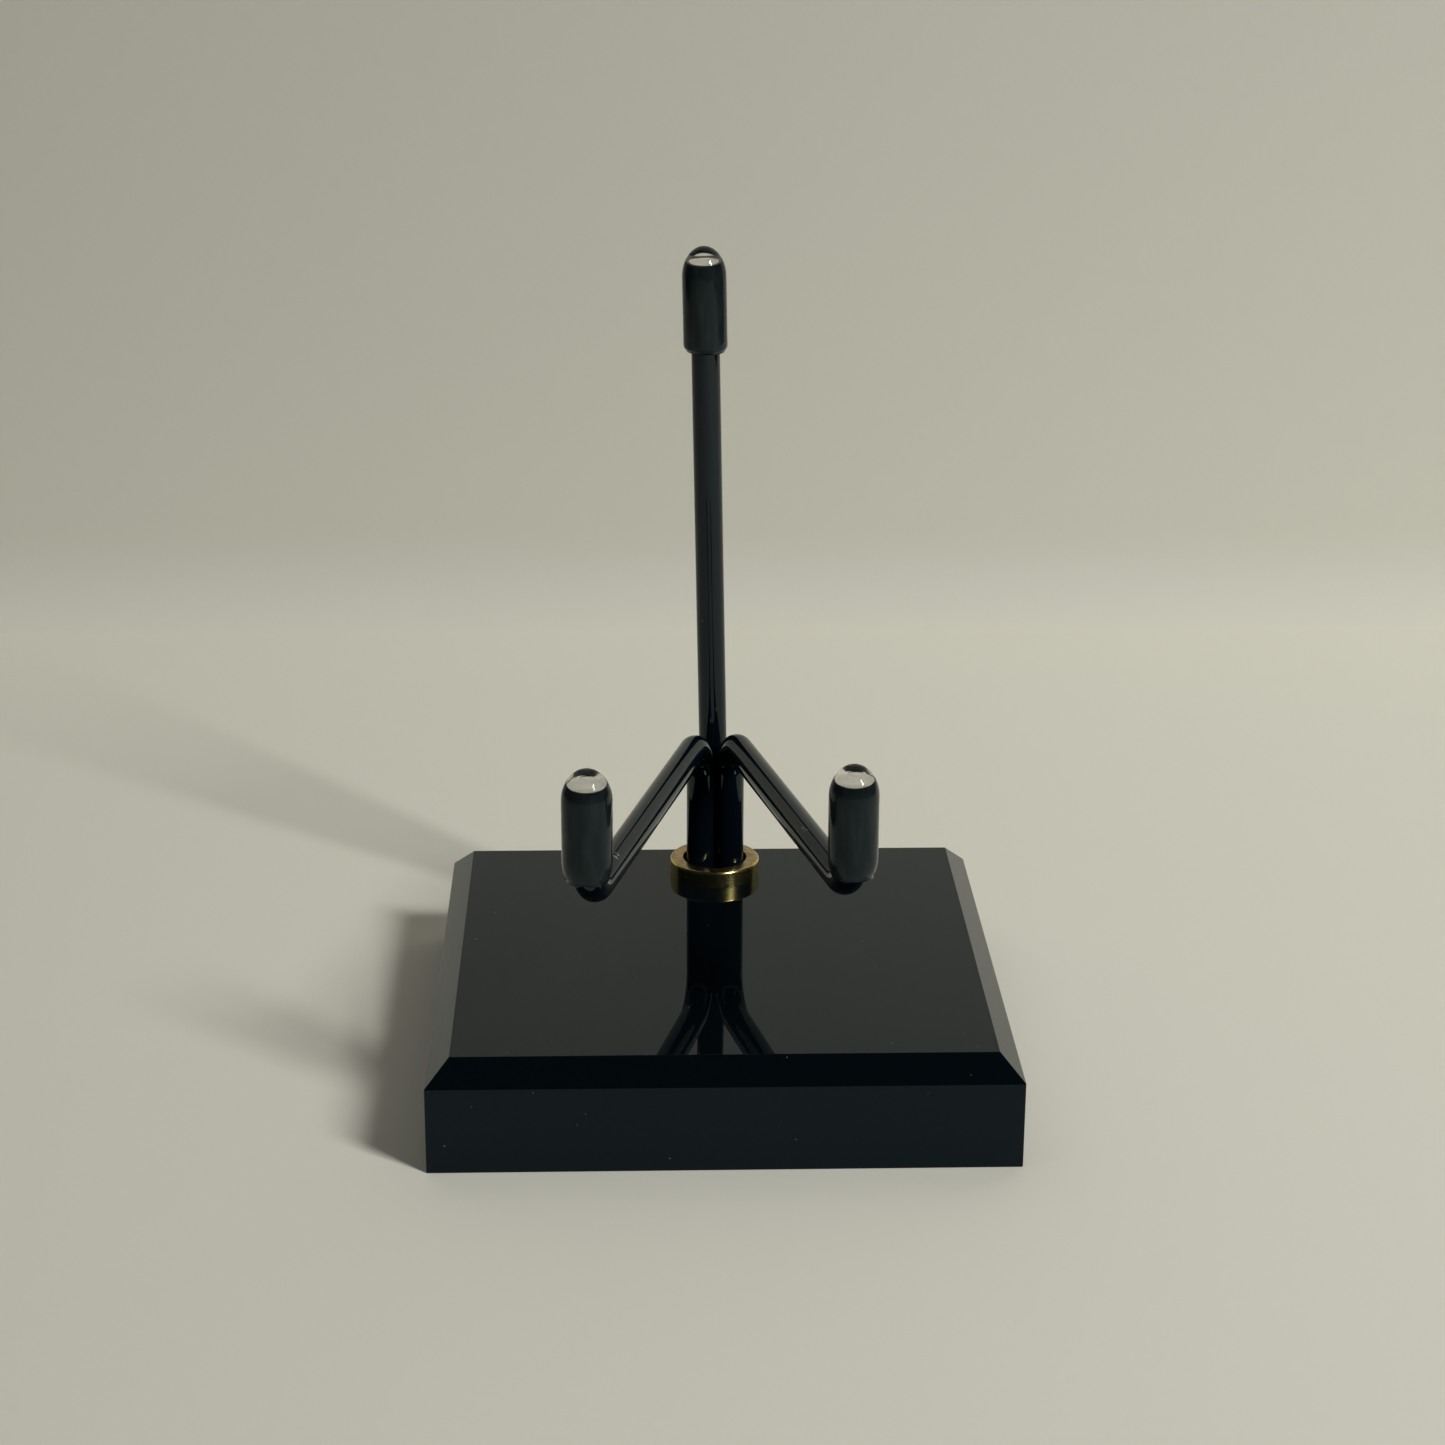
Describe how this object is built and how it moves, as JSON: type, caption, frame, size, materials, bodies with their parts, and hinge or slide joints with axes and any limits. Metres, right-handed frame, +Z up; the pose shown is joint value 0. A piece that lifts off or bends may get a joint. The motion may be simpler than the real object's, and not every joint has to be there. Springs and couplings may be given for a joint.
{
  "type": "specimen display stand",
  "caption": "Display stand: a bevelled block with a collared socket that holds bent, swivelling arms with upturned capped tips and a taller capped upright, to cradle a specimen.",
  "frame": {"origin": "centre of the block's underside, on the surface that the stand rests on", "axes": "+Z up along the stems; +Y towards the back, where the socket and the upright are; +X to the right of someone who faces the two front tips"},
  "size_m": [0.0762, 0.0762, 0.1062],
  "materials": {
    "black_acrylic": "mirror polished, with a little dust",
    "brass": "turned, slightly dulled",
    "black_rod": "gloss black",
    "clear_vinyl": "clear, soft, slightly milky"
  },
  "bodies": {
    "base": {"base_block": "black_acrylic", "brass_collar": "brass"},
    "left_arm": {"left_arm": "black_rod"},
    "right_arm": {"right_arm": "black_rod"},
    "upright": {"rear_upright": "black_rod"},
    "left_cap": {"left_tip_cap": "clear_vinyl"},
    "right_cap": {"right_tip_cap": "clear_vinyl"},
    "rear_cap": {"rear_tip_cap": "clear_vinyl"}
  },
  "joints": [
    {"name": "left_arm_swivel", "type": "hinge", "parent": "base", "child": "left_arm", "pos_m": [-0.00169, 0.02507, 0.0148], "axis": [0, 0, -1], "range_deg": [-12, 95]},
    {"name": "right_arm_swivel", "type": "hinge", "parent": "base", "child": "right_arm", "pos_m": [0.00255, 0.02507, 0.0148], "axis": [0, 0, 1], "range_deg": [-10.5, 95]},
    {"name": "upright_turn", "type": "hinge", "parent": "base", "child": "upright", "pos_m": [0.00057, 0.0288, 0.0148], "axis": [-0.0212, -0.009, 0.9997], "continuous": true},
    {"name": "left_cap_pull", "type": "slide", "parent": "left_arm", "child": "left_cap", "axis": [0, 0, 1], "range_m": [0, 0.012]},
    {"name": "right_cap_pull", "type": "slide", "parent": "right_arm", "child": "right_cap", "axis": [0, 0, 1], "range_m": [0, 0.012]},
    {"name": "rear_cap_pull", "type": "slide", "parent": "upright", "child": "rear_cap", "axis": [-0.0212, -0.009, 0.9997], "range_m": [0, 0.013]}
  ]
}
